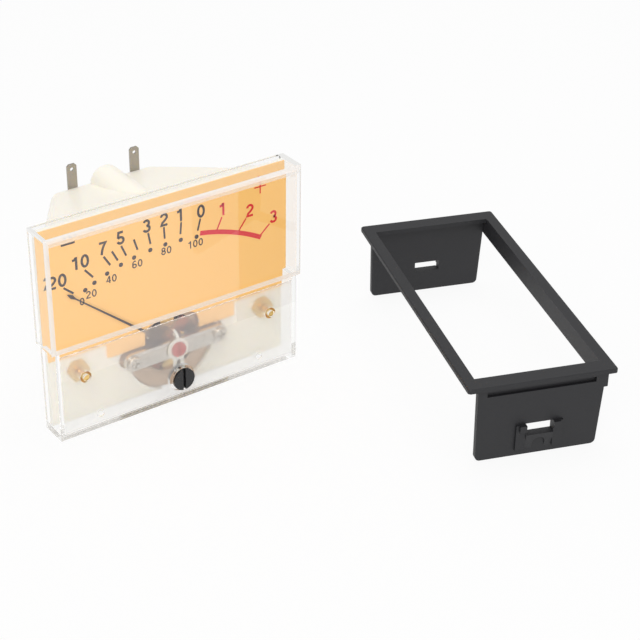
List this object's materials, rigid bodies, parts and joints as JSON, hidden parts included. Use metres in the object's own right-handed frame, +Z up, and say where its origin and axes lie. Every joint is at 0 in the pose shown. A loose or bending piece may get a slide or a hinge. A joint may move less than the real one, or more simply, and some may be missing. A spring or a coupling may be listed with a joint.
{
  "type": "analog vu meter",
  "caption": "Moving-coil level meter with a stepped clear cover, arc scale, tapered light housing, rear solder lugs and a separate snap-in panel bezel.",
  "frame": {"origin": "middle of the cover's flat bottom face, on the plane the meter and the bezel stand on", "axes": "+X to the right as seen from the front, +Y towards the back of the meter, +Z up"},
  "size_m": [0.1759, 0.1432, 0.07],
  "materials": {
    "clear_acrylic": "polished, frosted inside the lower panel",
    "dial_white": "matte print",
    "ivory_plastic": "satin",
    "brass": "satin",
    "soft_iron": "satin",
    "magnet": "ground",
    "aluminium": "satin",
    "copper_wire": "enamelled",
    "steel": "polished",
    "pointer_black": "matte paint",
    "bronze_strip": "polished",
    "nickel": "satin",
    "red_brass": "lacquered",
    "ruby": "polished",
    "cream_plastic": "satin",
    "black_plastic": "satin",
    "tinned_brass": "tinned",
    "white_plastic": "satin",
    "lamp_glass": "clear",
    "bezel_black": "fine texture"
  },
  "bodies": {
    "meter_body": {"front_cover": "clear_acrylic", "dial_plate": "dial_white", "rear_housing": "ivory_plastic", "cover_screws": "brass", "hex_spacers": "brass", "movement_yoke": "soft_iron", "core_magnet": "magnet", "front_core_support": "brass", "rear_core_support": "brass", "front_bridge": "nickel", "rear_bridge": "nickel", "front_spacers": "nickel", "rear_spacers": "nickel", "bridge_screws": "nickel", "movement_screws": "nickel", "front_jewel_screw": "red_brass", "rear_jewel_screw": "brass", "front_jewel": "ruby", "rear_jewel": "ruby", "pointer_stops": "steel", "rear_spring_anchor": "brass", "left_terminal_lug": "tinned_brass", "right_terminal_lug": "tinned_brass", "terminal_screws": "nickel", "lamp_holder": "white_plastic", "lamp": "lamp_glass", "lamp_pins": "steel"},
    "needle": {"coil_former": "aluminium", "coil_winding": "copper_wire", "front_staff": "steel", "rear_staff": "steel", "pointer_collet": "brass", "rear_collet": "brass", "pointer": "pointer_black", "balance_weights": "brass", "front_hairspring": "bronze_strip", "rear_hairspring": "bronze_strip"},
    "zero_lever": {"zero_lever": "cream_plastic"},
    "zero_adjuster": {"zero_adjuster": "black_plastic"},
    "bezel": {"bezel": "bezel_black"}
  },
  "joints": [
    {"name": "needle_turn", "type": "hinge", "parent": "meter_body", "child": "needle", "pos_m": [0, 0.008, 0.017], "axis": [0, 1, 0], "range_deg": [-2.5, 101.5], "stiffness_Nm_per_rad": 0.00002, "deforming": ["front_hairspring", "rear_hairspring"]},
    {"name": "adjuster_turn", "type": "hinge", "parent": "meter_body", "child": "zero_adjuster", "pos_m": [0, -0.004, 0.0073], "axis": [0, 1, 0], "range_deg": [-25, 25]},
    {"name": "lever_turn", "type": "hinge", "parent": "meter_body", "child": "zero_lever", "pos_m": [0, -0.0011, 0.017], "axis": [0, 1, 0], "range_deg": [-9.5, 9.5]},
    {"name": "bezel_lift", "type": "slide", "parent": "meter_body", "child": "bezel", "axis": [0, 0, 1], "range_m": [0, 0.05]}
  ],
  "couplings": [
    {"joint": "lever_turn", "follows": "adjuster_turn", "ratio": -0.366}
  ]
}
